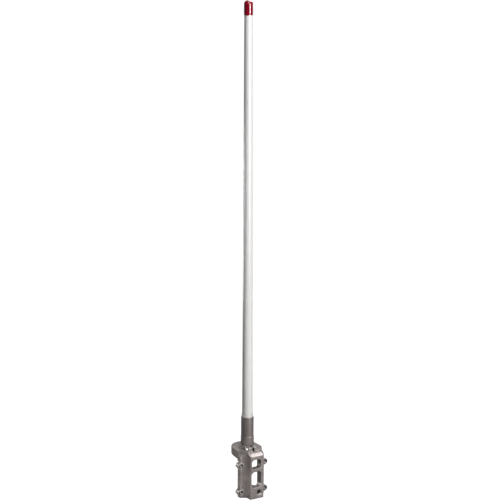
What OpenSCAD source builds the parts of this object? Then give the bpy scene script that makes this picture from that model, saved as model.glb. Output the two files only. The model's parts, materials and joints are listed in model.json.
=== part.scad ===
// Base-station omnidirectional antenna: tapered fibreglass radome with a
// moulded end cap, a metal ferrule collar, and a cast mast bracket with a
// rear clamp jaw. Millimetres, +Z up. The origin is on the mast axis at
// the bracket's bottom face; the bracket's windowed front faces -Y.

/* [Mast clamp] */
// Outside diameter of the mast in the clamp seat
mast_d = 42.4; // [42:0.1:43]
// Height of the bracket casting up to the flange top
flange_z = 112.5; // [112:0.5:114]
// Height of the mast stop above the bottom face
mast_stop_z = 96; // [95:0.5:96.5]
// Height of the lower clamp screws
ear_lo_z = 14; // [13:0.5:15]
// Height of the upper clamp screws
ear_hi_z = 78.5; // [77:0.5:80]
// Sideways distance of each clamp screw from the mast axis
ear_x = 31.7; // [31.5:0.1:32]

/* [Bracket casting] */
// Width of the windowed front box
box_w = 35.4; // [34:0.2:36]
// Distance of the front face from the mast axis
front_d = 37.8; // [37:0.2:38.5]
// Width of the flange and across the side rails
flange_w = 63; // [62:0.5:63]

/* [Antenna] */
// Offset of the antenna axis behind the mast axis
ant_y = 7; // [6.5:0.1:7.5]
// Diameter of the collar and of its spigot in the socket
collar_d = 29; // [28.5:0.1:29.4]
// Top of the collar
collar_top = 187; // [180:1:200]
// Diameter of the radome where it leaves the collar
radome_foot_d = 24; // [23.8:0.1:24.2]
// Diameter of the radome just under the end cap
radome_top_d = 18; // [17.9:0.1:18.2]
// Height of the lower edge of the end cap
cap_z = 1111.5; // [1110:0.5:1114]
// Overall height to the crown of the end cap
top_z = 1143; // [1142:1:1150]
// Wall thickness of the radome
radome_wall = 2; // [1.8:0.1:2.2]

/* [Fasteners] */
// Radius of the M6 clamp screw shanks
m6_r = 3; // [2.95:0.05:3]
// Radial running clearance round screws and the antenna spigot
run_c = 0.05; // [0.03:0.01:0.08]

/* [Hidden] */

round_fn = 120;               // segments on the main rounds
over = 1;                     // how far a cut runs past a face
wide = 60;                    // beyond any side of the bracket
slip = 0.03;                  // radial gap between assembled parts
screw_grey = [0.42, 0.41, 0.4];
washer_grey = [0.7, 0.7, 0.69];
copper = [0.72, 0.42, 0.25];
brass = [0.78, 0.66, 0.36];

// mast seat
mast_r = mast_d / 2;
land_lo = 15;                 // top of the lower bearing land
land_hi = 80;                 // bottom of the upper bearing land

// bracket
flange_r = flange_w / 2;      // flange half-width and rear radius
flange_round_y = 17;          // centre of the flange's rear half-round
front_y = -front_d;
box_x = box_w / 2;
box_back_y = -22;             // where the box meets the slanted walls
rail_in = 27;                 // inner face of the side rails
rail_y0 = -15;                // front of the rails
rail_y1 = -2;                 // rear of the rails
slide_y = -10.2;              // front of the jaw's slideway
hub_r = 17.4;
hub_top = 119.8;
socket_z = 100;               // floor of the collar socket
pocket_z = 80;                // start of the pocket cut under the flange

// clamp ears
ear_xs = [-ear_x, ear_x];
ear_zs = [ear_lo_z, ear_hi_z];
boss_r = 7.5;
boss_y0 = -18.4;              // front face of the ear bosses
boss_y1 = -10;                // split plane of the ears
head_seat_y = -13.4;          // bottom of the counterbore
jaw_ear_y0 = -8.9;            // front face of the jaw ears
jaw_ear_y1 = -3.5;            // rear face of the jaw ears

// fasteners
wash_t = 0.8;
head_gap = 0.05;              // between a screw head and its washer
lug_x0 = -13;                 // head side of the pinch lugs
lug_x1 = 8.5;                 // far side of the pinch lugs
pinch_r = 2;                  // M4 pinch screw
pinch_y = -15.4;
pinch_z = 116.1;
pinch_wash_t = 0.6;
grub_x = 5.2;
grub_z = 15.2;
grub_r = 5;

// antenna
collar_r = collar_d / 2;
foot_r = radome_foot_d / 2;
tip_r = radome_top_d / 2;
tip_in_r = tip_r - radome_wall;
radome_foot_z = 147;
radome_end_z = cap_z + 22;
cap_gasket_t = 1;
plug_screw_z = 110;
plug_screw_r = 1.5;
o_ring_zs = [124.2, 129.6];
base_lift = 20;               // rise of the connector and its circuit
conn_bore_r = 4.2;
conn_thread_r = 7.6;
contact_r = 1.5;
feed_r = 1.9;
core_r = 0.5;
choke_r = 5.5;
radiator_r = 3;
phasing_gap = 40;             // between the ends of adjoining radiators
lower_gap_z = 572;            // top of the lower radiator
upper_gap_z = 834;            // top of the middle radiator

// radome inside radius at a height above the collar
function radome_in_r(z) = foot_r - radome_wall
  + (tip_r - foot_r) * (z - collar_top) / (cap_z - collar_top);

// ---------- shared shapes ----------
// side outline, given as [y, z] points, run across the bracket
module side_prism() {
  width = 100;
  translate([-width / 2, 0, 0]) rotate([90, 0, 90]) linear_extrude(width) children();
}
module y_cyl(x, z, from, to, radius, sides = 64) {
  translate([x, from, z]) rotate([-90, 0, 0]) cylinder(h = to - from, r = radius, $fn = sides);
}
module x_cyl(y, z, from, to, radius, sides = 64) {
  translate([from, y, z]) rotate([0, 90, 0]) cylinder(h = to - from, r = radius, $fn = sides);
}
module on_axis() { translate([0, ant_y, 0]) children(); }
module on_base() { translate([0, ant_y, base_lift]) children(); }
module tube(z0, z1, outer, inner, sides = 96) {
  translate([0, 0, z0]) difference() {
    cylinder(h = z1 - z0, r = outer, $fn = sides);
    translate([0, 0, -over]) cylinder(h = z1 - z0 + 2 * over, r = inner, $fn = sides);
  }
}
// helix of round wire, swept as rings of points along the curve
module helix(coil_r, wire_r, z0, z1, turns, per_turn, sides) {
  steps = round(turns * per_turn);
  rise = atan((z1 - z0) / turns / (2 * PI * coil_r));
  points = [for (i = [0:steps])
    let (turn = 360 * i / per_turn, z = z0 + (z1 - z0) * i / steps)
    for (j = [0:sides - 1])
      let (around = 360 * j / sides,
        radial = coil_r + wire_r * cos(around),
        up = wire_r * sin(around))
      [radial * cos(turn) + up * sin(rise) * sin(turn),
       radial * sin(turn) - up * sin(rise) * cos(turn),
       z + up * cos(rise)]];
  skin = [for (i = [0:steps - 1], j = [0:sides - 1]) let (k = (j + 1) % sides)
    [i * sides + j, (i + 1) * sides + j, (i + 1) * sides + k, i * sides + k]];
  start_face = [for (j = [0:sides - 1]) j];
  end_face = [for (j = [sides - 1:-1:0]) steps * sides + j];
  polyhedron(points = points, faces = concat(skin, [start_face], [end_face]), convexity = 10);
}
// bore for the mast: true size on the end lands, relieved between them
module mast_bore(top) {
  relief = 0.7;
  translate([0, 0, -over]) cylinder(h = top + over, r = mast_r, $fn = round_fn);
  translate([0, 0, land_lo])
    cylinder(h = land_hi - land_lo, r = mast_r + relief, $fn = round_fn);
}
// block joining an ear to the casting on its inboard side
module ear_block(x, z, width, from, to, half_h) {
  translate([x < 0 ? x : x - width, from, z - half_h]) cube([width, to - from, 2 * half_h]);
}

// ---------- mast bracket ----------
module flange_plan(inset = 0) {
  side = flange_r - inset;
  front_x = 16.4 - inset;
  lip_y = -24.5 + inset;
  wing_y = -5;
  union() {
    translate([0, flange_round_y]) circle(r = side, $fn = round_fn);
    polygon([[-side, flange_round_y], [-side, wing_y], [-front_x, lip_y],
      [front_x, lip_y], [side, wing_y], [side, flange_round_y]]);
  }
}
module body_plan() {
  chamfer = 2;
  polygon([[-box_x, front_y + chamfer], [-box_x + chamfer, front_y],
    [box_x - chamfer, front_y], [box_x, front_y + chamfer], [box_x, box_back_y],
    [rail_in, rail_y0], [flange_r, rail_y0], [flange_r, rail_y1], [-flange_r, rail_y1],
    [-flange_r, rail_y0], [-rail_in, rail_y0], [-box_x, box_back_y]]);
}
// flange and skirt, cut to the sloping underside
module flange_mass() {
  intersection() {
    linear_extrude(flange_z) flange_plan();
    side_prism() polygon([[-wide, 89], [-wide, flange_z], [wide, flange_z],
      [wide, 98.4], [rail_y1, 91.2]]);
  }
}
// windowed box, slanted walls and side rails
module body_mass() {
  top = flange_z - 4.1;
  back = rail_y1 + 1;
  bevel = 1.6;                // front bottom edge
  shoulder_size = [40, 60, 30];
  difference() {
    intersection() {
      linear_extrude(flange_z) body_plan();
      side_prism() polygon([[front_y, bevel], [front_y, 103.8], [-24.4, top],
        [back, top], [back, 0], [front_y + bevel, 0]]);
    }
    // shoulders sloped back under the flange
    for (side = [0, 1], tilt = [0, 50])
      mirror([side, 0, 0]) translate([flange_r, -5, 104]) rotate([0, 0, -37.75])
        rotate([0, tilt, 0]) translate([-0.6, -21, 0]) cube(shoulder_size);
  }
}
module pinch_hub() {
  hub_z = flange_z - 14;
  lug_z = flange_z - 1;
  on_axis() translate([0, 0, hub_z]) cylinder(h = hub_top - hub_z, r = hub_r, $fn = round_fn);
  translate([lug_x0, -20.8, lug_z]) cube([lug_x1 - lug_x0, 16, hub_top - lug_z]);
}
module ear_bosses() {
  for (x = ear_xs, z = ear_zs) {
    y_cyl(x, z, boss_y0, boss_y1, boss_r);
    ear_block(x, z, 8, boss_y0 + 1.5, boss_y1, boss_r - 0.7);
  }
}
module mast_seat_cuts() {
  mast_bore(mast_stop_z);
  // slideway of the rear jaw between the rails
  translate([-rail_in, slide_y, -over]) cube([2 * rail_in, 58, mast_stop_z + over]);
  // relief between the two contact strips of the seat
  translate([-9.4, -22.8, 27]) cube([18.8, 10, 66]);
}
// pocket under the flange, round the hub and its three ribs
module flange_pocket() {
  wall = 5.2;
  flange_t = 6;
  rib_t = 4;
  below_z = pocket_z - 10;
  difference() {
    intersection() {
      translate([0, 0, pocket_z])
        linear_extrude(flange_z - flange_t - pocket_z) flange_plan(wall);
      translate([-wide, rail_y1 + 5, pocket_z]) cube([2 * wide, 60, 40]);
    }
    on_axis() translate([0, 0, below_z]) cylinder(h = 50, r = hub_r, $fn = round_fn);
    for (angle = [35, 90, 145])
      translate([0, ant_y, below_z]) rotate([0, 0, angle])
        translate([0, -rib_t / 2, 0]) cube([60, rib_t, 60]);
  }
}
module socket_cuts() {
  slit_y0 = -30;
  slit_y1 = ant_y - 8;
  // socket for the collar spigot, and the feeder passage in its floor
  on_axis() translate([0, 0, socket_z]) cylinder(h = 40, r = collar_r + run_c, $fn = round_fn);
  on_axis() translate([0, 0, socket_z - 10]) cylinder(h = 20, r = 11, $fn = round_fn);
  // pinch slit and clearance bore for the pinch screw
  translate([-2.7, slit_y0, flange_z - 1]) cube([3.6, slit_y1 - slit_y0, 20]);
  x_cyl(pinch_y, pinch_z, -20, 20, pinch_r + run_c);
}
// rounded window prism through the front wall
module window(x0, x1, z0, z1, corner) {
  translate([0, front_y - over, 0]) rotate([90, 0, 0]) mirror([0, 0, 1]) linear_extrude(34)
    union() {
      translate([x0 + corner, z0]) square([x1 - x0 - 2 * corner, z1 - z0]);
      translate([x0, z0 + corner]) square([x1 - x0, z1 - z0 - 2 * corner]);
      for (x = [x0 + corner, x1 - corner], z = [z0 + corner, z1 - corner])
        translate([x, z]) circle(r = corner, $fn = 32);
    }
}
module front_cuts() {
  // windows above and below a crossbar
  window(-14.2, 10.3, 73.4, 95.6, 7.5);
  window(-15, 10.3, 28, 66, 8);
  // hole for the grub screw, with a relieved mouth
  y_cyl(grub_x, grub_z, front_y - 5, -10, grub_r + run_c);
  y_cyl(grub_x, grub_z, front_y - over, front_y + 2.6, 7);
}
// screw bores, counterbores and the gaps where the jaw's ears close up
module ear_cuts() {
  counterbore_r = 5.4;
  gap = [24, 20, 17.2];
  for (x = ear_xs, z = ear_zs) {
    y_cyl(x, z, -30, 10, m6_r + run_c);
    y_cyl(x, z, boss_y0 - over, head_seat_y, counterbore_r);
    translate([x - gap.x / 2, boss_y1, z - gap.z / 2]) cube(gap);
  }
}
module mount_bracket() color([0.49, 0.46, 0.45]) difference() {
  union() {
    flange_mass();
    body_mass();
    pinch_hub();
    ear_bosses();
  }
  mast_seat_cuts();
  flange_pocket();
  socket_cuts();
  front_cuts();
  ear_cuts();
  // shallow round marks in the top of the flange wings
  for (x = [-23, 23]) translate([x, 18.5, flange_z - 1.2]) cylinder(h = 3, r = 2.6, $fn = 48);
}

// ---------- rear jaw ----------
jaw_t = 5.3;                  // wall thickness
jaw_z0 = 0.6;
jaw_z1 = 95;

module jaw_bridge(z0, z1) {
  height = z1 - z0;
  translate([0, 0, z0]) difference() {
    cylinder(h = height, r = mast_r + jaw_t, $fn = round_fn);
    translate([-wide, -wide, -over]) cube([2 * wide, wide + jaw_ear_y0, height + 2 * over]);
  }
}
module rear_jaw() color([0.46, 0.43, 0.42]) difference() {
  union() {
    jaw_bridge(jaw_z0, 12);
    jaw_bridge(82.5, jaw_z1);
    // spine joining the two bridges, and its rear rib
    translate([-8, mast_r - 1, jaw_z0]) cube([16, jaw_t + 1, jaw_z1 - jaw_z0]);
    translate([-2, mast_r + 2, jaw_z0]) cube([4, jaw_t + 2.5, jaw_z1 - jaw_z0]);
    // ears
    for (x = ear_xs, z = ear_zs) {
      y_cyl(x, z, jaw_ear_y0, jaw_ear_y1, 6.5);
      ear_block(x, z, 9, jaw_ear_y0, jaw_ear_y1, 6.1);
    }
    // webs from the ears to the bridges
    for (x = [-25.6, 21.6], span = [[jaw_z0, 21.2], [71.3, jaw_z1]])
      translate([x, jaw_ear_y0, span[0]])
        cube([4, jaw_ear_y1 - jaw_ear_y0, span[1] - span[0]]);
  }
  mast_bore(110);
  for (x = ear_xs, z = ear_zs) y_cyl(x, z, -20, 10, m6_r + run_c);
}

// ---------- fasteners ----------
// socket-head screw along +Y, hex recess in the head
module clamp_screw(x, z) {
  seat = head_seat_y - wash_t - head_gap;
  head_h = 4;
  head_r = 5;
  shank = 16;
  hex_r = 2.9;
  hex_depth = head_h * 0.55;
  difference() {
    union() {
      y_cyl(x, z, seat - head_h, seat, head_r);
      y_cyl(x, z, seat - 0.5, seat + shank, m6_r);
    }
    y_cyl(x, z, seat - head_h - over, seat - head_h + hex_depth, hex_r, 6);
  }
}
module clamp_screw_upper_left() color(screw_grey) clamp_screw(-ear_x, ear_hi_z);
module clamp_screw_upper_right() color(screw_grey) clamp_screw(ear_x, ear_hi_z);
module clamp_screw_lower_left() color(screw_grey) clamp_screw(-ear_x, ear_lo_z);
module clamp_screw_lower_right() color(screw_grey) clamp_screw(ear_x, ear_lo_z);
module clamp_washers() color(washer_grey)
  for (x = ear_xs, z = ear_zs) difference() {
    y_cyl(x, z, head_seat_y - wash_t, head_seat_y, 5.2);
    y_cyl(x, z, head_seat_y - 2, head_seat_y + over, m6_r + run_c);
  }
module pinch_screw() color([0.78, 0.78, 0.77]) {
  seat = lug_x0 - pinch_wash_t - head_gap;
  head_x = seat - 4;
  hex_x = head_x - 1.05;
  difference() {
    union() {
      x_cyl(pinch_y, pinch_z, head_x, seat, 3.5);
      x_cyl(pinch_y, pinch_z, lug_x0 - 1, lug_x1 + 0.6, pinch_r);
    }
    x_cyl(pinch_y, pinch_z, hex_x, hex_x + 3.2, 1.9, 6);
  }
}
module pinch_washer() color(washer_grey) difference() {
  x_cyl(pinch_y, pinch_z, lug_x0 - pinch_wash_t, lug_x0, 3.55);
  x_cyl(pinch_y, pinch_z, lug_x0 - 2, lug_x0 + over, pinch_r + run_c);
}
module grub_screw() color([0.35, 0.34, 0.33]) {
  head_y = -33;
  tip_y = -23.4;              // where the tip starts to taper
  difference() {
    union() {
      y_cyl(grub_x, grub_z, head_y, tip_y, grub_r);
      translate([grub_x, tip_y, grub_z]) rotate([-90, 0, 0])
        cylinder(h = 1.6, r1 = grub_r, r2 = 3.2, $fn = 64);
    }
    y_cyl(grub_x, grub_z, head_y - over, head_y + 4.5, 2.9, 6);
  }
}

// ---------- antenna: outside; outlines are [radius, z] ----------
module radome_collar() color([0.43, 0.39, 0.39]) {
  bore_r = foot_r + slip;
  band_r = collar_r + 0.55;   // thicker band just above the hub
  band_z = hub_top + 0.1;
  on_axis() difference() {
    rotate_extrude($fn = round_fn)
      polygon([[bore_r, 100.3], [collar_r - 0.8, 100.3], [collar_r, 101.2],
        [collar_r, band_z], [band_r, band_z], [band_r, 141], [collar_r, 142.2],
        [collar_r, collar_top - 1], [collar_r - 1, collar_top], [bore_r, collar_top]]);
    x_cyl(0, plug_screw_z, -collar_r - over, collar_r + over, plug_screw_r + 0.02, 48);
  }
}
// [distance out from the radome foot, height above the collar]
bead_outline = [[0.02, 0], [1.3, 0], [1.15, 2.2], [0.8, 5.5], [0.3, 9.2], [0.02, 10]];
module sealant_bead() color([0.86, 0.85, 0.82]) on_axis() rotate_extrude($fn = round_fn)
  polygon([for (point = bead_outline) [foot_r + point.x, collar_top + point.y]]);
module radome_tube() color([0.93, 0.93, 0.92]) on_axis() rotate_extrude($fn = round_fn)
  polygon([[foot_r - radome_wall, radome_foot_z], [foot_r, radome_foot_z],
    [foot_r, collar_top], [tip_r, cap_z], [tip_r - 0.06, radome_end_z],
    [tip_in_r, radome_end_z], [tip_in_r, cap_z], [foot_r - radome_wall, collar_top]]);
module tip_cap() color([0.72, 0.06, 0.06]) {
  cap_r = tip_r + 0.85;
  bore_r = tip_r + 0.04;
  crown_h = 6.5;
  crown_z = top_z - crown_h;
  bore_top = radome_end_z + cap_gasket_t;
  crown = [for (angle = [9:9:81])
    [cap_r * pow(cos(angle), 0.8), crown_z + crown_h * sin(angle)]];
  on_axis() rotate_extrude($fn = round_fn)
    polygon(concat(
      [[bore_r, cap_z], [cap_r - 0.25, cap_z], [cap_r, cap_z + 0.5], [cap_r, crown_z]],
      crown,
      [[0, top_z], [0, bore_top + 1], [tip_in_r, bore_top + 1], [tip_in_r, bore_top],
       [bore_r, bore_top]]));
}
module cap_gasket() color([0.15, 0.15, 0.15]) on_axis()
  tube(radome_end_z, radome_end_z + cap_gasket_t, tip_r - 0.08, tip_in_r + 0.3);
module end_plug() color([0.2, 0.2, 0.2]) {
  bottom = cap_z - 6;
  on_axis() difference() {
    translate([0, 0, bottom]) cylinder(h = 26, r = tip_in_r - slip, $fn = 96);
    translate([0, 0, bottom - over]) cylinder(h = 9, r = 3, $fn = 48);
  }
}

// ---------- antenna: base fittings ----------
module base_plug() color([0.72, 0.72, 0.72]) {
  groove_r = foot_r - 1.4;
  groove_half = 1.2;
  top = radome_foot_z - 0.1;
  grooves = [for (z = o_ring_zs) each
    [[foot_r, z - groove_half], [groove_r, z - groove_half],
     [groove_r, z + groove_half], [foot_r, z + groove_half]]];
  on_axis() rotate_extrude($fn = round_fn)
    polygon(concat([[10.95, 103], [foot_r, 103]], grooves,
      [[foot_r, top], [11.2, top], [11.2, 136], [7.65, 136], [7.65, 120.2], [10.95, 120.2]]));
}
module plug_o_rings() color([0.1, 0.1, 0.1]) on_axis() for (z = o_ring_zs)
  translate([0, 0, z]) rotate_extrude($fn = round_fn)
    translate([foot_r - 0.7, 0]) circle(r = 0.68, $fn = 24);
module plug_screws() color([0.6, 0.6, 0.6]) on_axis() for (angle = [0, 180])
  rotate([0, 0, angle])
    x_cyl(0, plug_screw_z, foot_r + 0.05, collar_r - 0.3, plug_screw_r, 48);

// heights from here to the matching coil are below base_lift
module connector_body() color([0.85, 0.8, 0.62]) on_base() rotate_extrude($fn = 96)
  polygon([[6.4, 82], [7.5, 82], [7.94, 82.6], [7.94, 97], [10.3, 97], [10.3, 99.4],
    [conn_thread_r, 99.4], [conn_thread_r, 121.4], [conn_bore_r, 121.4],
    [conn_bore_r, 97], [6.4, 97]]);
module connector_insulator() color([0.95, 0.95, 0.93]) on_base()
  tube(92, 121, conn_bore_r - slip, contact_r + slip, 64);
module connector_contact() color([0.8, 0.65, 0.3]) on_base() difference() {
  translate([0, 0, 87]) cylinder(h = 36, r = contact_r, $fn = 48);
  translate([0, 0, 86]) cylinder(h = 7, r = 0.85, $fn = 32);
}
module connector_gasket() color([0.12, 0.12, 0.12]) on_base()
  tube(99.42, 100.18, 10.2, conn_thread_r + 0.05);
module connector_locknut() color([0.8, 0.76, 0.6]) on_base() difference() {
  translate([0, 0, 116.02]) cylinder(h = 3.6, r = 10.9, $fn = 6);
  translate([0, 0, 115]) cylinder(h = 6, r = conn_thread_r + 0.02, $fn = 64);
}
board_y = 3.4;
board_size = [13, 1.6, 26];
module matching_board() color([0.1, 0.35, 0.2]) on_base()
  translate([-board_size.x / 2, board_y, 127.5]) cube(board_size);
module board_capacitor() color([0.8, 0.55, 0.2]) on_base()
  y_cyl(0, 141, board_y + board_size.y + 0.02, 7.8, 3.2, 48);
module matching_coil() color(copper) on_base() translate([0, -6, 0])
  helix(coil_r = 2.9, wire_r = 0.4, z0 = 128, z1 = 148, turns = 7, per_turn = 18, sides = 6);

// ---------- antenna: radiating line ----------
module feed_line() color([0.72, 0.45, 0.3]) on_axis() tube(144, 352, feed_r, core_r + 0.05, 48);
module feed_core() color([0.8, 0.5, 0.3]) on_axis()
  translate([0, 0, 143.02]) cylinder(h = 213, r = core_r, $fn = 32);
// sleeve closed round the feed line by a disc at its top
module choke_sleeve() color(brass) {
  top = 340;
  on_axis() union() {
    tube(182, top, choke_r, choke_r - 0.5, 72);
    tube(top - 1.5, top, choke_r, feed_r + 0.05, 72);
  }
}
module radiator(z0, z1) { tube(z0, z1, radiator_r, radiator_r - 0.5, 64); }
// tube with a bored disc at its foot
module lower_radiator() color(brass) on_axis() union() {
  radiator(357, lower_gap_z);
  difference() {
    translate([0, 0, 356.2]) cylinder(h = 2, r = radiator_r, $fn = 64);
    translate([0, 0, 350]) cylinder(h = 10, r = core_r, $fn = 32);
  }
}
module middle_radiator() color(brass) on_axis()
  radiator(lower_gap_z + phasing_gap, upper_gap_z);
module upper_radiator() color(brass) on_axis() radiator(upper_gap_z + phasing_gap, 1096);
module phasing_coil(gap_z) {
  inset = 1.5;
  helix(coil_r = 4.1, wire_r = 0.6, z0 = gap_z + inset, z1 = gap_z + phasing_gap - inset,
    turns = 9, per_turn = 20, sides = 7);
}
module lower_phasing_coil() color(copper) on_axis() phasing_coil(lower_gap_z);
module upper_phasing_coil() color(copper) on_axis() phasing_coil(upper_gap_z);
// rods reaching into the radiators, thicker across the gap
module coil_formers() color([0.93, 0.93, 0.9]) {
  reach = 8;
  end_gap = 0.05;
  on_axis() for (z = [lower_gap_z, upper_gap_z]) union() {
    translate([0, 0, z - reach]) cylinder(h = phasing_gap + 2 * reach, r = 2.45, $fn = 48);
    translate([0, 0, z + end_gap]) cylinder(h = phasing_gap - 2 * end_gap, r = 3.3, $fn = 48);
  }
}
// ring from the line out to the radome, with four holes
module spacer(z, inner) {
  thick = 5;
  room = radome_in_r(z);
  difference() {
    tube(z, z + thick, radome_in_r(z + thick) - 0.1, inner, 72);
    for (angle = [0:90:270])
      rotate([0, 0, angle]) translate([(room + inner) / 2, 0, z - over])
        cylinder(h = thick + 2 * over, r = min(1.3, (room - inner) / 4), $fn = 24);
  }
}
module centring_spacers() color([0.9, 0.9, 0.88]) on_axis() {
  spacer(250, choke_r + slip);
  for (z = [420, 520, 680, 780, 930, 1040]) spacer(z, radiator_r + slip);
}

mount_bracket();
rear_jaw();
clamp_screw_upper_left();
clamp_screw_upper_right();
clamp_screw_lower_left();
clamp_screw_lower_right();
clamp_washers();
pinch_screw();
pinch_washer();
grub_screw();
radome_collar();
sealant_bead();
radome_tube();
tip_cap();
cap_gasket();
end_plug();
base_plug();
plug_o_rings();
plug_screws();
connector_body();
connector_insulator();
connector_contact();
connector_gasket();
connector_locknut();
matching_board();
board_capacitor();
matching_coil();
feed_line();
feed_core();
choke_sleeve();
lower_radiator();
lower_phasing_coil();
middle_radiator();
upper_phasing_coil();
upper_radiator();
coil_formers();
centring_spacers();
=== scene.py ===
# Studio scene of an omnidirectional antenna in a cast mounting bracket.
# The antenna stands along +Z, with its axis at x = 0, y = AXIS_Y. The clamp screws run along +Y
# with their heads at -Y, the pinch screw runs along +X, and the camera looks from -X, -Y.
# Blender units are metres. Piece profiles are in millimetres.
import json
import math
import bpy
import bmesh
from mathutils import Vector, Matrix


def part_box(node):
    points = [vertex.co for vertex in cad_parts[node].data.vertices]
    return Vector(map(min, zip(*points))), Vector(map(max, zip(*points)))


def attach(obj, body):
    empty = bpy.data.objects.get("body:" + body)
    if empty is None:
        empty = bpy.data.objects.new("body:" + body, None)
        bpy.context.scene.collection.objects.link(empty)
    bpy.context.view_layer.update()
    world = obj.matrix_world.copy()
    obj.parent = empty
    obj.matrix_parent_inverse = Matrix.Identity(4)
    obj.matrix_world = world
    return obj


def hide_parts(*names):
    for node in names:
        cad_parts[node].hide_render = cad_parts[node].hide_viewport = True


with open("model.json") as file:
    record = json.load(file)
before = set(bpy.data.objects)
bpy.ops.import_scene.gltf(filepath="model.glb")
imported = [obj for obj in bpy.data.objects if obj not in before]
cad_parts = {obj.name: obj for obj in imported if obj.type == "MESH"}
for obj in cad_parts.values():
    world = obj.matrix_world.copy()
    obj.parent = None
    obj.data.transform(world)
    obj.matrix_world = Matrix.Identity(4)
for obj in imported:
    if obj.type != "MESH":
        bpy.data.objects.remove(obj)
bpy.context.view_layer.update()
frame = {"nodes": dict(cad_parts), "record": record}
NODES = frame["nodes"]
SLOT = {part["node"]: part["material_slot"] for part in frame["record"]["subparts"]}
BODY = {node: body for body, nodes in frame["record"]["behaviour"]["bodies"].items()
        for node in nodes}

MM = 0.001
TAU = 2 * math.pi

# ------------------------------------------------------------------ driving sizes
AXIS_Y = sum(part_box("radome_tube")[i][1] for i in (0, 1)) / 2      # metres
AXIS = (0, AXIS_Y / MM, 0)                                         # mm, as all sizes below


def z_low(node):
    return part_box(node)[0][2] / MM


def z_high(node):
    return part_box(node)[1][2] / MM


COLLAR_TOP = z_high("radome_collar")
BRACKET_TOP = z_high("mount_bracket")
CAP_BOTTOM = z_low("tip_cap")
CAP_TOP = z_high("tip_cap")
COLLAR_R = 14.5
FOOT_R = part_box("radome_tube")[1][0] / MM       # radome outside, at the collar
CAP_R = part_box("tip_cap")[1][0] / MM
TIP_R = CAP_R - 0.85                            # radome outside, at the cap
RADOME_WALL = 2

# Saw cut in the bracket, metres: inside these x and z limits, below SLIT_Y_MAX, its walls get a
# near-black painted shade
SLIT_X = (-0.0034, 0.0016)
SLIT_Y_MAX = -0.0065
SLIT_Z = (0.1105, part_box("mount_bracket")[1][2] - 0.0007)


# ------------------------------------------------------------------ node helpers
class Graph:
    """The emptied node tree of a material or world."""

    def __init__(self, owner):
        owner.use_nodes = True
        self.tree = owner.node_tree
        self.tree.nodes.clear()

    def add(self, kind, **settings):
        node = self.tree.nodes.new(kind)
        for key, value in settings.items():
            setattr(node, key, value)
        return node

    def put(self, socket, value):
        """Links a socket or sets a value; a tuple is an RGB colour and gets alpha 1."""
        if isinstance(value, bpy.types.NodeSocket):
            self.tree.links.new(value, socket)
        elif isinstance(value, tuple):
            socket.default_value = (*value, 1)
        else:
            socket.default_value = value

    def math(self, operation, a, b=0.0, c=None):
        node = self.add("ShaderNodeMath", operation=operation)
        self.put(node.inputs[0], a)
        self.put(node.inputs[1], b)
        if c is not None:
            self.put(node.inputs[2], c)
        return node.outputs[0]

    def times(self, a, b):
        return self.math("MULTIPLY", a, b)


class Material(Graph):
    """A procedural Principled material in object coordinates."""

    def __init__(self, name):
        self.data = bpy.data.materials.new(name)
        super().__init__(self.data)
        output = self.add("ShaderNodeOutputMaterial")
        self.shader = self.add("ShaderNodeBsdfPrincipled")
        self.put(output.inputs["Surface"], self.shader.outputs[0])
        self.coords = self.add("ShaderNodeTexCoord").outputs["Object"]

    def set(self, name, value):
        self.put(self.shader.inputs[name], value)

    def stretch(self, x, y, z):
        node = self.add("ShaderNodeMapping")
        node.inputs["Scale"].default_value = (x, y, z)
        self.put(node.inputs["Vector"], self.coords)
        return node.outputs[0]

    def noise(self, scale, detail=4, rough=0.55, vector=None):
        node = self.add("ShaderNodeTexNoise")
        node.inputs["Scale"].default_value = scale
        node.inputs["Detail"].default_value = detail
        node.inputs["Roughness"].default_value = rough
        self.put(node.inputs["Vector"], vector or self.coords)
        return node.outputs["Fac"]

    def voronoi(self, scale):
        node = self.add("ShaderNodeTexVoronoi", feature="F1")
        node.inputs["Scale"].default_value = scale
        self.put(node.inputs["Vector"], self.coords)
        return node.outputs["Distance"]

    def ramp(self, factor, stops):
        """Colour ramp over (position, colour or grey level) stops."""
        node = self.add("ShaderNodeValToRGB")
        elements = node.color_ramp.elements
        while len(elements) > 1:
            elements.remove(elements[-1])
        for i, (position, color) in enumerate(stops):
            if not isinstance(color, tuple):
                color = (color, color, color)
            element = elements[0] if i == 0 else elements.new(position)
            element.position = position
            element.color = (*color, 1)
        self.put(node.inputs[0], factor)
        return node.outputs[0]

    def fade(self, factor, start, end, top=1.0):
        """Rises from 0 at start to top at end."""
        return self.ramp(factor, [(start, 0.0), (end, top)])

    def mix(self, factor, a, b):
        node = self.add("ShaderNodeMix", data_type="RGBA", blend_type="MIX")
        self.put(node.inputs[0], factor)
        self.put(node.inputs[6], a)
        self.put(node.inputs[7], b)
        return node.outputs[2]

    def bump(self, height, strength, distance, normal=None):
        node = self.add("ShaderNodeBump")
        node.inputs["Strength"].default_value = strength
        node.inputs["Distance"].default_value = distance
        self.put(node.inputs["Height"], height)
        if normal:
            self.put(node.inputs["Normal"], normal)
        return node.outputs[0]

    def worn_edges(self, color, worn, start, end, amount):
        """Blends towards worn where the surface is convex."""
        geometry = self.add("ShaderNodeNewGeometry")
        edge = self.fade(geometry.outputs["Pointiness"], start, end)
        return self.mix(self.times(edge, amount), color, worn)

    def paint_cavity_shade(self, color, dark, distance, start, end, amount):
        """Painted shade: blends towards dark where nearby surfaces close the view, as ambient
        occlusion darkens it.
        """
        occlusion = self.add("ShaderNodeAmbientOcclusion", samples=4)
        occlusion.inputs["Distance"].default_value = distance
        factor = self.ramp(occlusion.outputs["AO"], [(start, amount), (end, 0.0)])
        return self.mix(factor, color, dark)

    def set_roughness(self, factor, low, span):
        self.set("Roughness", self.math("MULTIPLY_ADD", factor, span, low))

    def xyz(self):
        node = self.add("ShaderNodeSeparateXYZ")
        self.put(node.inputs[0], self.coords)
        return node.outputs


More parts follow.
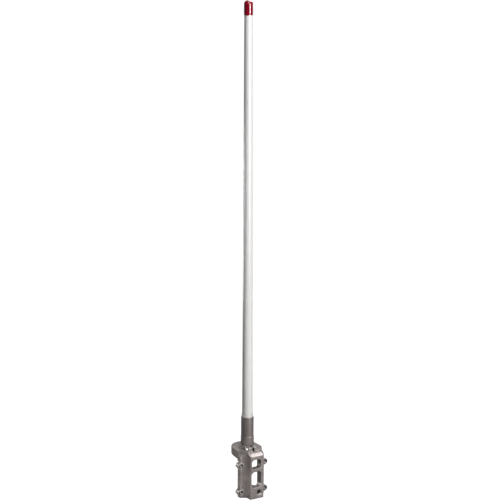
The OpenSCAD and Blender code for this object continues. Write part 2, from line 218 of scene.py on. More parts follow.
def tint(color, factor, lift=0.0):
    """A colour made darker or lighter, held at 1."""
    return tuple(min(1, channel * factor + lift) for channel in color)


# ------------------------------------------------------------------ materials
def cast_enamel():
    """Enamelled sand casting: mottled, pitted, rubbed lighter on its edges, with painted shade in
    its hollows and in the pinch slit.
    """
    base = (0.345, 0.307, 0.298)
    dark = (0.238, 0.209, 0.203)
    light = (0.475, 0.433, 0.421)
    m = Material("cast_enamel")
    broad = m.noise(scale=38, detail=5, rough=0.6)
    mid = m.noise(scale=170, detail=5, rough=0.6)
    fine = m.noise(scale=1100, detail=3, rough=0.6)
    pits = m.voronoi(scale=620)
    color = m.ramp(broad, [(0.30, dark), (0.52, base), (0.74, light)])
    color = m.mix(m.fade(mid, start=0.35, end=0.75, top=0.34), color, tint(base, factor=0.72))
    color = m.mix(m.fade(fine, start=0.42, end=0.78, top=0.16), color, light)
    color = m.worn_edges(color, tint(base, factor=1.65, lift=0.03),
                         start=0.505, end=0.57, amount=0.55)
    # Painted shade: the enamel turns darker in hollows and inner corners where nearby surfaces
    # close the view.
    color = m.paint_cavity_shade(color, tint(dark, factor=0.32),
                            distance=0.007, start=0.25, end=0.85, amount=0.75)
    # Painted shade: the pinch slit's walls are coloured near black, standing in for the shadow
    # inside the slit.
    x, y, z = m.xyz()
    slit_shade_mask = m.times(m.math("GREATER_THAN", x, SLIT_X[0]), m.math("LESS_THAN", x, SLIT_X[1]))
    slit_shade_mask = m.times(slit_shade_mask, m.math("LESS_THAN", y, SLIT_Y_MAX))
    in_height = m.times(m.math("GREATER_THAN", z, SLIT_Z[0]), m.math("LESS_THAN", z, SLIT_Z[1]))
    slit_shade_mask = m.times(slit_shade_mask, in_height)
    slit_shade_color = (0.012, 0.011, 0.010)
    m.set("Base Color", m.mix(slit_shade_mask, color, slit_shade_color))
    m.set("Metallic", 0.45)
    m.set_roughness(mid, low=0.29, span=0.26)
    grain_share, pit_share = 0.35, 0.5
    height = m.math("ADD", m.times(fine, grain_share),
                    m.times(m.fade(pits, start=0.0, end=0.35), pit_share))
    normal = m.bump(height, strength=0.35, distance=0.00022)
    m.set("Normal", m.bump(mid, strength=0.30, distance=0.0006, normal=normal))
    return m.data


def turned_metal(name, base, rough, axis, line_scale, metallic=1.0, variation=0.10, bump=0.12):
    """Machined, drawn or plated metal with fine lines stacked along the given axes."""
    m = Material(name)
    stretch = [line_scale if letter in axis else 0.5 for letter in "xyz"]
    lines = m.noise(scale=1.0, detail=3, rough=0.6, vector=m.stretch(*stretch))
    blotches = m.noise(scale=90, detail=4, rough=0.55)
    color = m.mix(m.fade(blotches, start=0.3, end=0.75),
                  tint(base, 1 - variation), tint(base, 1 + variation))
    line_amount = 0.22
    color = m.mix(m.times(m.fade(lines, start=0.35, end=0.7), line_amount),
                  color, tint(base, factor=0.7))
    # Painted shade: darker in recesses such as sockets and thread roots, where nearby surfaces
    # close the view.
    color = m.paint_cavity_shade(color, tint(base, factor=0.2),
                            distance=0.002, start=0.2, end=0.8, amount=0.8)
    m.set("Base Color", color)
    m.set("Metallic", metallic)
    m.set_roughness(lines, low=rough - 0.1, span=0.22)
    m.set("Normal", m.bump(lines, strength=bump, distance=0.00012))
    return m.data


def coated_tube():
    """Dark warm-grey satin coating over a drawn tube."""
    m = Material("collar_coated")
    lines = m.noise(scale=1.0, detail=3, rough=0.6, vector=m.stretch(x=3, y=3, z=1400))
    blotches = m.noise(scale=60, detail=5, rough=0.6)
    drawn = m.noise(scale=1.0, detail=3, rough=0.5, vector=m.stretch(x=420, y=420, z=5))
    color = m.ramp(blotches, [(0.28, (0.180, 0.154, 0.150)), (0.55, (0.228, 0.199, 0.193)),
                              (0.8, (0.268, 0.237, 0.229))])
    drawn_amount, drawn_color = 0.18, (0.27, 0.245, 0.235)
    color = m.mix(m.times(m.fade(drawn, start=0.4, end=0.72), drawn_amount), color, drawn_color)
    color = m.worn_edges(color, worn=(0.42, 0.39, 0.37), start=0.505, end=0.56, amount=0.5)
    # Painted shade: darker where nearby surfaces close the view.
    color = m.paint_cavity_shade(color, dark=(0.05, 0.044, 0.042),
                            distance=0.004, start=0.3, end=0.85, amount=0.6)
    m.set("Base Color", color)
    m.set("Metallic", 0.35)
    m.set_roughness(lines, low=0.36, span=0.18)
    normal = m.bump(lines, strength=0.10, distance=0.0001)
    m.set("Normal", m.bump(drawn, strength=0.05, distance=0.0002, normal=normal))
    return m.data


def radome_paint():
    """White gloss paint over filament-wound glass fibre: a faint crossed winding shows through."""
    turn_rate, climb_rate = 14.0, 1500.0        # winding phase per radian and per metre
    winding_amount = 0.07
    m = Material("radome_white")
    x, y, z = m.xyz()
    angle = m.math("ARCTAN2", m.math("SUBTRACT", y, AXIS_Y), x)
    strands = []
    for sign in (1, -1):
        phase = m.math("ADD", m.times(angle, turn_rate * sign), m.times(z, climb_rate))
        strands.append(m.math("MULTIPLY_ADD", m.math("SINE", phase), 0.5, 0.5))  # to 0..1
    winding = m.math("MAXIMUM", strands[0], strands[1])
    fine = m.noise(scale=1.0, detail=4, rough=0.6, vector=m.stretch(x=900, y=900, z=60))
    broad = m.noise(scale=9, detail=3, rough=0.5, vector=m.stretch(x=1, y=1, z=0.35))
    color = m.ramp(broad, [(0.3, (0.80, 0.80, 0.79)), (0.7, (0.86, 0.86, 0.855))])
    color = m.mix(m.times(winding, winding_amount), color, (0.70, 0.71, 0.71))
    color = m.mix(m.fade(fine, start=0.55, end=0.85, top=0.10), color, (0.72, 0.72, 0.70))
    m.set("Base Color", color)
    m.set_roughness(broad, low=0.24, span=0.10)
    m.set("IOR", 1.5)
    m.set("Coat Weight", 0.35)
    m.set("Coat Roughness", 0.12)
    normal = m.bump(winding, strength=0.06, distance=0.00012)
    m.set("Normal", m.bump(fine, strength=0.05, distance=0.0001, normal=normal))
    return m.data


def cap_gloss():
    """Glossy moulded red plastic."""
    base, deep = (0.31, 0.002, 0.017), (0.23, 0.001, 0.012)
    m = Material("cap_red")
    broad = m.noise(scale=60, detail=3, rough=0.5)
    fine = m.noise(scale=900, detail=3, rough=0.6)
    color = m.mix(m.fade(broad, start=0.3, end=0.75), deep, base)
    color = m.worn_edges(color, tint(base, factor=1.4, lift=0.04),
                         start=0.51, end=0.58, amount=0.25)
    m.set("Base Color", color)
    m.set_roughness(fine, low=0.13, span=0.10)
    m.set("Coat Weight", 0.6)
    m.set("Coat Roughness", 0.05)
    ripple = m.noise(scale=240, detail=4, rough=0.6)
    m.set("Normal", m.bump(ripple, strength=0.05, distance=0.0003))
    return m.data


def matte(name, base, rough, bump, variation, scale):
    """Non-metal surface with blotches at a quarter of the scale and grain at four times it."""
    m = Material(name)
    broad = m.noise(scale=scale * 0.25, detail=4, rough=0.55)
    fine = m.noise(scale=scale * 4, detail=3, rough=0.6)
    color = m.mix(m.fade(broad, start=0.3, end=0.72),
                  tint(base, 1 - variation), tint(base, 1 + variation))
    # Painted shade: darker where nearby surfaces close the view.
    color = m.paint_cavity_shade(color, tint(base, factor=0.4),
                            distance=0.003, start=0.2, end=0.8, amount=0.6)
    m.set("Base Color", color)
    m.set_roughness(fine, low=rough - 0.1, span=0.2)
    m.set("Normal", m.bump(fine, strength=bump, distance=0.00015))
    return m.data


MATERIALS = {
    "cast_aluminium": cast_enamel(),
    "collar_metal": coated_tube(),
    "radome_fibreglass": radome_paint(),
    "red_cap": cap_gloss(),
    "sealant": matte("sealant_offwhite", (0.66, 0.655, 0.63),
                     rough=0.42, bump=0.25, variation=0.05, scale=160),
    # Clamp screws: zinc finish in a dark grey that is partly painted shade, so the heads read as
    # the shaded recesses of the clamp ears.
    "dark_zinc": turned_metal("zinc_with_painted_shade", (0.20, 0.188, 0.182),
                              rough=0.36, metallic=0.85, axis="y", line_scale=2600.0),
    "stainless": turned_metal("stainless_turned", (0.66, 0.65, 0.635),
                              rough=0.27, axis="y", line_scale=2600.0),
    "stainless_x": turned_metal("stainless_pinch", (0.78, 0.77, 0.755),
                                rough=0.30, axis="x", line_scale=2600.0),
    "black_oxide": turned_metal("black_oxide_steel", (0.055, 0.052, 0.050),
                                rough=0.38, metallic=0.8, axis="y", line_scale=2200.0),
    "turned_aluminium": turned_metal("aluminium_turned", (0.74, 0.74, 0.75),
                                     rough=0.28, axis="z", line_scale=2400.0),
    "nickel_brass": turned_metal("nickel_plate", (0.70, 0.67, 0.60), rough=0.18, axis="z",
                                 line_scale=1800.0, variation=0.06, bump=0.06),
    "brass_line": turned_metal("drawn_brass", (0.74, 0.53, 0.22),
                               rough=0.30, axis="z", line_scale=300.0),
    "copper_wire": turned_metal("enamelled_copper", (0.70, 0.30, 0.14),
                                rough=0.26, axis="xyz", line_scale=300.0),
    "black_rubber": matte("nitrile_black", (0.022, 0.022, 0.023),
                          rough=0.6, bump=0.3, variation=0.2, scale=300),
    "white_polymer": matte("polymer_natural", (0.80, 0.79, 0.74),
                           rough=0.42, bump=0.12, variation=0.04, scale=200),
    "circuit_board": matte("solder_resist_green", (0.020, 0.130, 0.055),
                           rough=0.3, bump=0.1, variation=0.15, scale=500),
    "ceramic_disc": matte("ceramic_dip", (0.62, 0.33, 0.06),
                          rough=0.28, bump=0.1, variation=0.12, scale=300),
}


# ------------------------------------------------------------------ mesh helpers
def edit_mesh(mesh, edit):
    bm = bmesh.new()
    bm.from_mesh(mesh)
    edit(bm)
    bm.to_mesh(mesh)
    bm.free()


def skin(name, verts, faces, centre, axis, crease):
    """A smooth-shaded object from mm points round z, turned so that height runs along +axis.
    Edges bent by more than crease degrees stay sharp."""
    turned = {"z": lambda x, y, z: (x, y, z),
              "y": lambda x, y, z: (x, z, -y),
              "x": lambda x, y, z: (z, y, -x)}[axis]
    offset = Vector(centre)
    mesh = bpy.data.meshes.new(name)
    mesh.from_pydata([tuple((Vector(turned(*v)) + offset) * MM) for v in verts], [], faces)
    mesh.validate()
    mesh.update()
    obj = bpy.data.objects.new(name, mesh)
    bpy.context.scene.collection.objects.link(obj)
    mesh.shade_smooth()

    def mark_creases(bm):
        limit = math.radians(crease)
        for edge in bm.edges:
            edge.smooth = not (len(edge.link_faces) == 2 and edge.calc_face_angle(0) > limit)

    edit_mesh(mesh, lambda bm: bmesh.ops.recalc_face_normals(bm, faces=bm.faces))
    edit_mesh(mesh, mark_creases)
    return obj


def finish_piece(obj, node, material=None):
    """Puts a piece in the place of its CAD node."""
    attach(obj, BODY[node])
    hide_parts(node)
    obj.data.materials.clear()
    obj.data.materials.append(material or MATERIALS[SLOT[node]])


def round_profile(points, radii, steps):
    """Rounds each corner of a closed profile by one radius, or by its own from a list."""
    out = []
    count = len(points)
    for i in range(count):
        corner = Vector(points[i])
        radius = radii[i] if isinstance(radii, list) else radii
        back = Vector(points[i - 1]) - corner
        ahead = Vector(points[(i + 1) % count]) - corner
        back_length, ahead_length = back.length, ahead.length
        # repeated points have no corner to round
        if back_length < 1e-9 or ahead_length < 1e-9:
            out.append(tuple(corner))
            continue
        back /= back_length
        ahead /= ahead_length
        angle = math.acos(max(-1, min(1, back.dot(ahead))))
        # nor has a straight run or a fold
        if angle > math.radians(176) or angle < math.radians(4):
            out.append(tuple(corner))
            continue
        reach = min(radius / math.tan(angle / 2), back_length * 0.45, ahead_length * 0.45)
        start, end = corner + back * reach, corner + ahead * reach
        for k in range(steps + 1):
            u = k / steps
            out.append(tuple(start * (1 - u) ** 2 + corner * 2 * u * (1 - u) + end * u * u))
    return out


def lathe(name, profile, segments, centre, crease, axis="z", wobble=None):
    """Revolves a closed profile of (radius, height). wobble(angle, height, radius) adds to the
    radius."""
    verts, rings = [], []
    for radius, height in profile:
        if radius < 1e-6:
            rings.append([len(verts)] * segments)
            verts.append((0.0, 0.0, height))
            continue
        rings.append(list(range(len(verts), len(verts) + segments)))
        for j in range(segments):
            angle = TAU * j / segments
            r = radius + (wobble(angle, height, radius) if wobble else 0)
            verts.append((r * math.cos(angle), r * math.sin(angle), height))
    faces = []
    for i, ring in enumerate(rings):
        following = rings[(i + 1) % len(rings)]
        for j in range(segments):
            k = (j + 1) % segments
            face = list(dict.fromkeys([ring[j], ring[k], following[k], following[j]]))
            if len(face) >= 3:
                faces.append(face)
    return skin(name, verts, faces, centre, axis, crease)


def loft(name, rows, segments, centre, crease, axis="z", ends=None):
    """Skins rows stacked along an axis. A row is one (radius, height) for a circle, or a list
    of them, one per segment. ends gives the heights of the two end centre points; without it
    the last row joins the first."""
    verts, faces = [], []
    for row in rows:
        ring = row if isinstance(row, list) else [row] * segments
        for j, (r, height) in enumerate(ring):
            angle = TAU * j / segments
            verts.append((r * math.cos(angle), r * math.sin(angle), height))
    following = [(j + 1) % segments for j in range(segments)]
    for i in range(len(rows) - 1):
        near, far = i * segments, (i + 1) * segments
        faces += [[near + j, near + k, far + k, far + j] for j, k in enumerate(following)]
    last = (len(rows) - 1) * segments
    if ends:
        first_centre = len(verts)
        verts += [(0, 0, height) for height in ends]
        faces += [[first_centre, k, j] for j, k in enumerate(following)]
        faces += [[first_centre + 1, last + j, last + k] for j, k in enumerate(following)]
    else:
        faces += [[last + j, last + k, k, j] for j, k in enumerate(following)]
    return skin(name, verts, faces, centre, axis, crease)


def thread(major_r, depth, pitch, start, end, segments, per_turn, fade=1.0):
    """Rows of a right-handed thread that fades out over some pitches at each end."""
    count = max(2, int(round((end - start) / pitch * per_turn)))
    rows = []
    for i in range(count + 1):
        z = start + (end - start) * i / count
        cut = max(0.0, min(1.0, (z - start) / (pitch * fade), (end - z) / (pitch * fade)))
        row = []
        for j in range(segments):
            phase = (z / pitch - j / segments) % 1.0
            groove = min(1.0, max(0.0, (abs(phase * 2 - 1) - 0.1) / 0.8))
            row.append((major_r - depth * groove * cut, z))
        rows.append(row)
    return rows


def across_flats(corner_r):
    return 2 * corner_r * math.cos(math.pi / 6)


def hexagon(flats, z, segments, least=0.0, most=math.inf, flare=0.0):
    """A hexagonal row, its radius held between least and most and then widened by flare."""
    row = []
    for j in range(segments):
        angle = (TAU * j / segments + math.pi / 6) % (math.pi / 3) - math.pi / 6
        row.append((min(max(flats / 2 / math.cos(angle), least), most) + flare, z))
    return row


def low_end(node, axis):
    """Middle of a node's box, moved along the axis to its low face, in mm."""
    low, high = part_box(node)
    point = [(a + b) / 2 / MM for a, b in zip(low, high)]
    i = "xyz".index(axis)
    point[i] = low[i] / MM
    return point


# ------------------------------------------------------------------ antenna, outside
# Profile points are (radius, height) in mm.
def build_radome():
    """Tapered tube: straight below the collar top, then narrowing up to the cap."""
    foot_z, steps = 147, 90
    plug_z = CAP_BOTTOM + 22
    taper = [(FOOT_R + (TIP_R - FOOT_R) * i / steps,
              COLLAR_TOP + (CAP_BOTTOM - COLLAR_TOP) * i / steps) for i in range(steps + 1)]
    profile = [(FOOT_R - RADOME_WALL, foot_z), (FOOT_R - 0.4, foot_z), (FOOT_R, foot_z + 0.4)]
    profile += taper
    profile += [(TIP_R - 0.06, plug_z - 0.4), (TIP_R - 0.4, plug_z), (TIP_R - RADOME_WALL, plug_z)]
    profile += [(r - RADOME_WALL, z) for r, z in reversed(taper)]
    finish_piece(lathe("radome_shell", profile, 144, AXIS, crease=35), "radome_tube")


def build_cap():
    """Moulded cap: rolled lip, shallow grip band, crowned top."""
    lip, lip_steps = 0.42, 5
    band_top = 3.0
    dome, dome_steps = 7.0, 14
    bore_r = TIP_R + 0.04
    inner_r = TIP_R - RADOME_WALL
    z = CAP_BOTTOM
    profile = [(bore_r, z + 0.25), (TIP_R + 0.2, z)]
    for i in range(lip_steps + 1):
        angle = math.radians(-90 + 90 * i / lip_steps)
        profile.append((CAP_R - lip + lip * math.cos(angle), z + lip + lip * math.sin(angle)))
    profile += [(CAP_R, z + 1.6), (CAP_R - 0.10, z + 1.95), (CAP_R - 0.16, z + 2.3),
                (CAP_R - 0.10, z + 2.65), (CAP_R - 0.02, z + band_top)]
    side = CAP_TOP - z - dome - band_top
    profile += [(CAP_R - 0.02 - 0.05 * t, z + band_top + side * t) for t in (0.25, 0.5, 0.75, 1.0)]
    for i in range(1, dome_steps):
        angle = math.radians(90 * i / dome_steps)
        profile.append(((CAP_R - 0.07) * math.cos(angle) ** 0.72,
                        CAP_TOP - dome + dome * math.sin(angle) ** 1.05))
    profile += [(0, CAP_TOP), (0, z + 24), (inner_r, z + 24), (inner_r, z + 23), (bore_r, z + 23)]
    finish_piece(lathe("end_cap_red", profile, 144, AXIS, crease=38), "tip_cap")


# (distance out from the radome, height above the collar)
BEAD_OUTLINE = [
    (0.02, 0.0), (1.30, 0.0), (1.42, 0.5), (1.40, 1.2), (1.22, 2.2), (0.98, 3.6),
    (0.70, 5.4), (0.42, 7.4), (0.20, 9.0), (0.05, 10.0), (0.02, 10.0),
]


def build_bead():
    """Hand-run sealant fillet, slightly uneven round the tube."""
    def wobble(angle, height, radius):
        weight = min(1.0, max(0.0, (radius - FOOT_R - 0.05) / 0.8))
        return weight * (0.055 * math.sin(3 * angle + 0.6)
                         + 0.035 * math.sin(7 * angle + 1.9 + 0.4 * height)
                         + 0.02 * math.sin(13 * angle + 0.7 * height))

    profile = [(FOOT_R + out, COLLAR_TOP + up) for out, up in BEAD_OUTLINE]
    obj = lathe("sealant_fillet", profile, 144, AXIS, crease=50, wobble=wobble)
    finish_piece(obj, "sealant_bead")


def build_collar():
    """Turned ferrule: spigot, shoulder band, chamfered mouth."""
    bore_r = FOOT_R + 0.03
    band_r = COLLAR_R + 0.55
    foot_z = 100.3
    outline = [
        (bore_r, foot_z), (COLLAR_R - 0.8, foot_z), (COLLAR_R, foot_z + 0.9),
        (COLLAR_R, BRACKET_TOP + 0.1), (COLLAR_R + 0.12, BRACKET_TOP + 0.1),
        (band_r, BRACKET_TOP + 0.5), (band_r, 139.9), (COLLAR_R + 0.35, 140.5),
        (COLLAR_R + 0.02, 141.2), (COLLAR_R, 142.2),
        (COLLAR_R, COLLAR_TOP - 1.6), (COLLAR_R - 0.35, COLLAR_TOP - 0.6),
        (COLLAR_R - 1.1, COLLAR_TOP - 0.02), (COLLAR_R - 1.5, COLLAR_TOP), (bore_r, COLLAR_TOP),
    ]
    profile = round_profile(outline, radii=0.18, steps=2)
    finish_piece(lathe("ferrule_collar", profile, 144, AXIS, crease=30), "radome_collar")


def build_base_plug():
    """Turned plug with two outer grooves, necked to a narrow bore at mid height."""
    bottom_z, top_z = 103, 146.9
    lower_bore_r, neck_r, upper_bore_r = 10.95, 7.65, 11.2
    neck_z = (120.2, 136)
    groove_r, groove_width = FOOT_R - 1.4, 2.4
    outline = [(lower_bore_r, bottom_z), (FOOT_R - 0.3, bottom_z), (FOOT_R, bottom_z + 0.3)]
    for groove_z in (123, 128.4):
        outline += [(FOOT_R, groove_z), (groove_r, groove_z),
                    (groove_r, groove_z + groove_width), (FOOT_R, groove_z + groove_width)]
    outline += [(FOOT_R, top_z - 0.3), (FOOT_R - 0.3, top_z), (upper_bore_r, top_z),
                (upper_bore_r, neck_z[1]), (neck_r, neck_z[1]),
                (neck_r, neck_z[0]), (lower_bore_r, neck_z[0])]
    profile = round_profile(outline, radii=0.12, steps=2)
    finish_piece(lathe("base_plug_turned", profile, 112, AXIS, crease=30), "base_plug")


def build_connector():
    """Bulkhead jack: a flange between two threaded lengths, with a stepped bore."""
    segments = 64
    z = z_low("connector_body")
    bore_r, mouth_r = 4.2, 6.4
    root_r, flange_r = 7.3, 10.25
    flange_z, flange_top = z + 15.0, z + 17.4
    rows = [(bore_r, flange_z), (mouth_r, flange_z), (mouth_r, z + 0.3), (mouth_r + 0.25, z),
            (root_r, z), (root_r + 0.25, z + 0.4)]
    rows += thread(major_r=7.94, depth=0.62, pitch=1.058, start=z + 0.7, end=z + 13.6,
                   segments=segments, per_turn=6)
    rows += [(root_r, z + 13.9), (root_r, flange_z), (flange_r - 0.35, flange_z),
             (flange_r, flange_z + 0.4), (flange_r, flange_top - 0.3),
             (flange_r - 0.35, flange_top), (root_r, flange_top)]
    rows += thread(major_r=7.6, depth=0.5, pitch=1.0, start=z + 17.5, end=z + 39.2,
                   segments=segments, per_turn=6)
    rows += [(7.0, z + 39.4), (bore_r, z + 39.4)]
    obj = loft("feeder_jack_body", rows, segments, AXIS, crease=40)
    finish_piece(obj, "connector_body")


def build_locknut():
    """Hexagon nut with its corners chamfered on both faces."""
    segments = 72
    bore_r = 7.62
    bottom, top = z_low("connector_locknut"), z_high("connector_locknut")
    flats = across_flats(corner_r=10.9)
    face_r, chamfer_r = flats / 2 - 0.05, flats / 2 + 0.9
    rows = [
        (bore_r, bottom),
        hexagon(flats, bottom, segments, most=face_r),
        hexagon(flats, bottom + 0.45, segments, most=chamfer_r),
        hexagon(flats, bottom + 0.9, segments),
        hexagon(flats, top - 0.9, segments),
        hexagon(flats, top - 0.45, segments, most=chamfer_r),
        hexagon(flats, top, segments, most=face_r),
        (8.0, top),
        (bore_r, top - 0.35),
    ]
    obj = loft("jack_locknut", rows, segments, AXIS, crease=30)
    finish_piece(obj, "connector_locknut")


# ------------------------------------------------------------------ fasteners
SCREW_SEGMENTS = 96


def cap_screw(name, node, axis, seat, head_r, shank_r, socket_r, pitch, material=None):
    """Socket-head cap screw: knurled head, hex socket, threaded shank with a chamfered point.
    Height runs from the head's outer face towards the point. seat is where the washer starts
    along the axis, in metres."""
    low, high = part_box(node)
    i = "xyz".index(axis)
    head = (seat - low[i]) / MM - 0.05
    length = (high[i] - low[i]) / MM - head
    tip = head + length
    socket = head * 0.55
    flats = across_flats(socket_r)
    knurl_count, knurl_depth = 24, 0.13

    def knurl(radius, z):
        return [(radius - knurl_depth
                 * (0.5 - 0.5 * math.cos(TAU * knurl_count * j / SCREW_SEGMENTS)), z)
                for j in range(SCREW_SEGMENTS)]

    plain_end = head + max(1.0, length - 14)
    rows = [
        (socket_r * 0.30, socket + 0.55),
        hexagon(flats, socket, SCREW_SEGMENTS),
        hexagon(flats, 0.5, SCREW_SEGMENTS),
        hexagon(flats, 0.12, SCREW_SEGMENTS, least=socket_r * 0.985, flare=0.18),
        (socket_r + 0.55, 0.0), (head_r - 0.75, 0.0), (head_r - 0.42, 0.1), (head_r - 0.2, 0.38),
        knurl(head_r - 0.04, 0.85), knurl(head_r, 1.1), knurl(head_r, head - 0.7),
        (head_r - 0.06, head - 0.45), (head_r - 0.3, head),
        (shank_r + 0.03, head), (shank_r, head + 0.12), (shank_r, plain_end),
    ]
    rows += thread(major_r=shank_r, depth=0.56 * pitch * 0.9, pitch=pitch, start=plain_end + 0.1,
                   end=tip - 0.9, segments=SCREW_SEGMENTS, per_turn=7)
    rows += [(shank_r - 0.45, tip - 0.5), (shank_r - 0.85, tip)]
    obj = loft(name, rows, SCREW_SEGMENTS, low_end(node, axis), crease=33, axis=axis,
               ends=(socket + 0.8, tip))
    finish_piece(obj, node, material)


def washers(name, node, axis, centres, inner_r, outer_r, thickness, material=None):
    """One mesh of flat washers with rounded rims, one per centre."""
    outline = [(inner_r, 0), (outer_r, 0), (outer_r, thickness), (inner_r, thickness)]
    profile = round_profile(outline, radii=[0.06, 0.22, 0.3, 0.12], steps=3)
    objects = [lathe(f"{name}_{i}", profile, 72, centre, crease=35, axis=axis)
               for i, centre in enumerate(centres)]
    bm = bmesh.new()
    for obj in objects:
        bm.from_mesh(obj.data)
    bm.to_mesh(objects[0].data)
    bm.free()
    for obj in objects[1:]:
        bpy.data.objects.remove(obj, do_unlink=True)
    objects[0].name = name
    finish_piece(objects[0], node, material)


def build_clamp_fasteners():
    """Four screws along y, each with a washer under its head."""
    inset = 5.2         # washer centre in from the edge of the washers' box
    low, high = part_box("clamp_washers")
    for corner in ("upper_left", "upper_right", "lower_left", "lower_right"):
        cap_screw("cap_screw_" + corner, "clamp_screw_" + corner, axis="y", seat=low[1],
                  head_r=5.0, shank_r=2.9, socket_r=2.9, pitch=1.0)
    columns = [low[0] / MM + inset, high[0] / MM - inset]
    levels = [low[2] / MM + inset, high[2] / MM - inset]
    washers("flat_washers", "clamp_washers", axis="y",
            centres=[(x, low[1] / MM, z) for x in columns for z in levels],
            inner_r=3.05, outer_r=5.0, thickness=(high[1] - low[1]) / MM - 0.04)


def build_pinch_fasteners():
    """Screw and washer along x."""
    steel = MATERIALS["stainless_x"]
    low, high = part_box("pinch_washer")
    washers("pinch_flat_washer", "pinch_washer", axis="x",
            centres=[low_end("pinch_washer", "x")], inner_r=2.05,
            outer_r=(high[2] - low[2]) / 2 / MM, thickness=(high[0] - low[0]) / MM, material=steel)
    screw_low, screw_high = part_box("pinch_screw")
    cap_screw("pinch_cap_screw", "pinch_screw", axis="x", seat=low[0],
              head_r=(screw_high[2] - screw_low[2]) / 2 / MM, shank_r=1.9, socket_r=1.9,
              pitch=0.7, material=steel)


def build_grub_screw():
    """Threaded body, flared hex socket, cup point."""
    low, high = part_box("grub_screw")
    length = high[1] / MM - low[1] / MM
    flats = across_flats(corner_r=2.9)
    rows = [
        (0.9, 5.4),
        hexagon(flats, 4.5, SCREW_SEGMENTS),
        hexagon(flats, 0.5, SCREW_SEGMENTS),
        hexagon(flats, 0.12, SCREW_SEGMENTS, least=2.86, flare=0.25),
        (3.5, 0.0), (4.2, 0.0), (4.5, 0.25),
    ]
    rows += thread(major_r=5.0, depth=0.75, pitch=1.5, start=0.5, end=length - 1.7,
                   segments=SCREW_SEGMENTS, per_turn=8, fade=0.6)
    rows += [(4.3, length - 1.4), (3.2, length), (2.5, length), (1.2, length - 0.9)]
    obj = loft("grub_socket_screw", rows, SCREW_SEGMENTS, low_end("grub_screw", "y"), crease=33,
               axis="y", ends=(5.6, length - 1.0))
    finish_piece(obj, "grub_screw")


# ------------------------------------------------------------------ castings
def apply_modifier(obj, name, kind, **settings):
    """Adds a modifier to the active object and applies it."""
    modifier = obj.modifiers.new(name, kind)
    for key, value in settings.items():
        setattr(modifier, key, value)
    bpy.ops.object.modifier_apply(modifier=modifier.name)


def drop_crumbs(bm):
    """Removes loose parts of under 200 vertices and smooths the faces left."""
    seen, crumbs = set(), []
    for vert in bm.verts:
        if vert in seen:
            continue
        stack, part = [vert], []
        seen.add(vert)
        while stack:
            current = stack.pop()
            part.append(current)
            for edge in current.link_edges:
                other = edge.other_vert(current)
                if other not in seen:
                    seen.add(other)
                    stack.append(other)
        if len(part) < 200:
            crumbs += part
    if crumbs:
        bmesh.ops.delete(bm, geom=crumbs, context="VERTS")
    for face in bm.faces:
        face.smooth = True


def casting(name, node, voxel):
    """A CAD solid with its edges and inner corners blended over like a sand casting's."""
    obj = bpy.data.objects.new(name, NODES[node].data.copy())
    bpy.context.scene.collection.objects.link(obj)
    for other in bpy.context.selected_objects:
        other.select_set(False)
    obj.select_set(True)
    bpy.context.view_layer.objects.active = obj
    apply_modifier(obj, "weld", "WELD", merge_threshold=1e-6)
    apply_modifier(obj, "remesh", "REMESH", mode="VOXEL", voxel_size=voxel, adaptivity=0.0)
    apply_modifier(obj, "blend", "SMOOTH", factor=0.5, iterations=3)
    edit_mesh(obj.data, drop_crumbs)
    finish_piece(obj, node, MATERIALS["cast_aluminium"])


def build_castings():
    voxel = 0.00055
    casting("bracket_casting", "mount_bracket", voxel)
    casting("rear_jaw_casting", "rear_jaw", voxel)


# ------------------------------------------------------------------ studio
def build_floor():
    """Pale disc, lifted to near white for the camera as a lit studio sweep is."""
    radius, z, segments = 60.0, -0.0006, 48
    camera_lift = 1.0
    mesh = bpy.data.meshes.new("studio_floor")
    ring = [(radius * math.cos(TAU * i / segments), radius * math.sin(TAU * i / segments), z)
            for i in range(segments)]
    mesh.from_pydata(ring, [], [list(range(segments))])
    floor = bpy.data.objects.new("studio_floor", mesh)
    bpy.context.scene.collection.objects.link(floor)

    material = bpy.data.materials.new("studio_floor")
    graph = Graph(material)
    diffuse = graph.add("ShaderNodeBsdfDiffuse")
    graph.put(diffuse.inputs["Color"], (0.22, 0.22, 0.22))
    glow = graph.add("ShaderNodeEmission")
    graph.put(glow.inputs["Color"], (1, 1, 1))
    camera_ray = graph.add("ShaderNodeLightPath").outputs["Is Camera Ray"]
    graph.put(glow.inputs["Strength"], graph.times(camera_ray, camera_lift))
    both = graph.add("ShaderNodeAddShader")
    graph.put(both.inputs[0], diffuse.outputs[0])
    graph.put(both.inputs[1], glow.outputs[0])
    output = graph.add("ShaderNodeOutputMaterial")
    graph.put(output.inputs["Surface"], both.outputs[0])
    mesh.materials.append(material)


CAMERA_AZIMUTH = math.radians(-31.5)        # round the antenna from -Y towards +X


def build_world():
    """Dim room, lighter on the camera's right and above; the camera itself sees white."""
    base_level, side_level, top_level = 0.03, 0.24, 0.08
    side_falloff = 1.3
    bright = CAMERA_AZIMUTH + math.radians(30)
    world = bpy.data.worlds.new("studio")
    bpy.context.scene.world = world
    graph = Graph(world)
    coords = graph.add("ShaderNodeTexCoord")
    split = graph.add("ShaderNodeSeparateXYZ")
    graph.put(split.inputs[0], coords.outputs["Generated"])
    x, y, z = split.outputs
    side = graph.math("ADD", graph.times(x, math.sin(bright)), graph.times(y, -math.cos(bright)))
    lit = graph.math("POWER", graph.math("MAXIMUM", side, 0.0), side_falloff)
    top = graph.math("MAXIMUM", z, 0.0)
    level = graph.math("ADD", base_level, graph.times(lit, side_level))
    level = graph.math("ADD", level, graph.times(top, top_level))
    camera_ray = graph.add("ShaderNodeLightPath").outputs["Is Camera Ray"]
    strength = graph.math("MAXIMUM", level, camera_ray)
    background = graph.add("ShaderNodeBackground")
    graph.put(background.inputs["Strength"], strength)
    graph.put(background.inputs["Color"], (1, 1, 1))
    output = graph.add("ShaderNodeOutputWorld")
    graph.put(output.inputs["Surface"], background.outputs[0])


def around(degrees, distance, z):
    """A point round the antenna axis, at an angle right of the camera."""
    angle = CAMERA_AZIMUTH + math.radians(degrees)
    return (distance * math.sin(angle), -distance * math.cos(angle) + AXIS_Y, z)


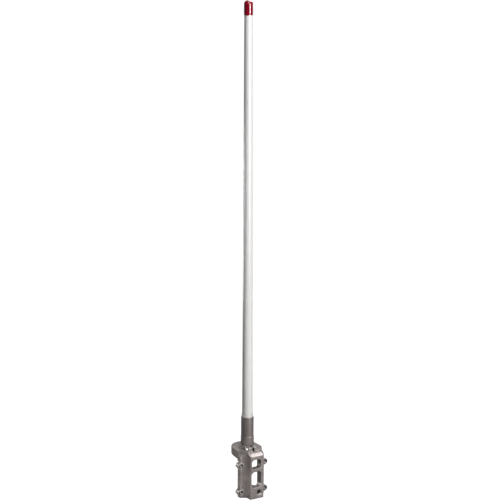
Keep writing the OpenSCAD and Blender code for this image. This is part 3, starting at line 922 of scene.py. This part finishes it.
def area_light(name, place, target, size, power, color=(1, 1, 1), glossy_only=False):
    """Area light of (width, height). A glossy-only one is a reflector card: seen in
    reflections, it adds no diffuse light."""
    light = bpy.data.lights.new(name, "AREA")
    light.shape = "RECTANGLE"
    light.size, light.size_y = size
    light.energy = power
    light.color = color
    obj = bpy.data.objects.new(name, light)
    bpy.context.scene.collection.objects.link(obj)
    obj.location = place
    direction = Vector(target) - Vector(place)
    obj.rotation_euler = direction.to_track_quat("-Z", "Y").to_euler()
    obj.visible_camera = False
    if glossy_only:
        obj.visible_diffuse = False
    return light


def build_lights():
    area_light("key_soft", around(degrees=44, distance=2.2, z=1.0), target=(0, AXIS_Y, 0.62),
               size=(0.95, 2.4), power=46, color=(1.0, 0.988, 0.97))
    area_light("top_soft", around(degrees=20, distance=1.1, z=2.9), target=(0, AXIS_Y, 0.2),
               size=(1.3, 1.3), power=34)
    fill = area_light("fill_left", around(degrees=-62, distance=0.9, z=0.10),
                      target=(0, -0.02, 0.030), size=(0.16, 0.08), power=0.023,
                      color=(1.0, 0.975, 0.95))
    fill.spread = math.radians(12)
    area_light("card_left_back", around(degrees=-117, distance=1.6, z=0.25),
               target=(0, AXIS_Y, 0.06), size=(0.9, 0.5), power=11, glossy_only=True)
    area_light("cap_strip", around(degrees=42, distance=2.2, z=0.78),
               target=(0, AXIS_Y, 1.13), size=(0.34, 0.5), power=22, glossy_only=True)
    area_light("card_bevel", around(degrees=162, distance=1.5, z=1.9),
               target=(0, -0.03, 0.106), size=(0.9, 0.9), power=26, glossy_only=True)


def build_camera():
    """Long lens looking down at the antenna, with a slight roll."""
    heading = CAMERA_AZIMUTH + math.radians(-0.0578)
    pitch = math.radians(15.4461)           # below the horizon
    roll = math.radians(0.1767)
    camera = bpy.data.cameras.new("camera")
    camera.sensor_width = 36
    camera.lens = 161.577
    camera.clip_end = 200
    obj = bpy.data.objects.new("camera", camera)
    bpy.context.scene.collection.objects.link(obj)
    forward = Vector((-math.sin(heading) * math.cos(pitch),
                      math.cos(heading) * math.cos(pitch), -math.sin(pitch)))
    level_right = Vector((math.cos(heading), math.sin(heading), 0))
    level_up = level_right.cross(forward)
    right = level_right * math.cos(roll) + level_up * math.sin(roll)
    up = -level_right * math.sin(roll) + level_up * math.cos(roll)
    matrix = Matrix((right, up, -forward)).transposed().to_4x4()
    matrix.translation = Vector(around(degrees=0, distance=4.8414, z=1.9184))
    obj.matrix_world = matrix
    bpy.context.scene.camera = obj


# ------------------------------------------------------------------ scene
build_radome()
build_cap()
build_bead()
build_collar()
build_base_plug()
build_connector()
build_locknut()
build_clamp_fasteners()
build_pinch_fasteners()
build_grub_screw()
build_castings()

# CAD parts that no piece replaces keep their mesh
for node_name, part in NODES.items():
    if not part.hide_render:
        part.data.materials.clear()
        part.data.materials.append(MATERIALS[SLOT[node_name]])

bpy.context.scene.view_settings.view_transform = "Standard"
bpy.context.scene.view_settings.look = "None"
build_floor()
build_world()
build_lights()
build_camera()
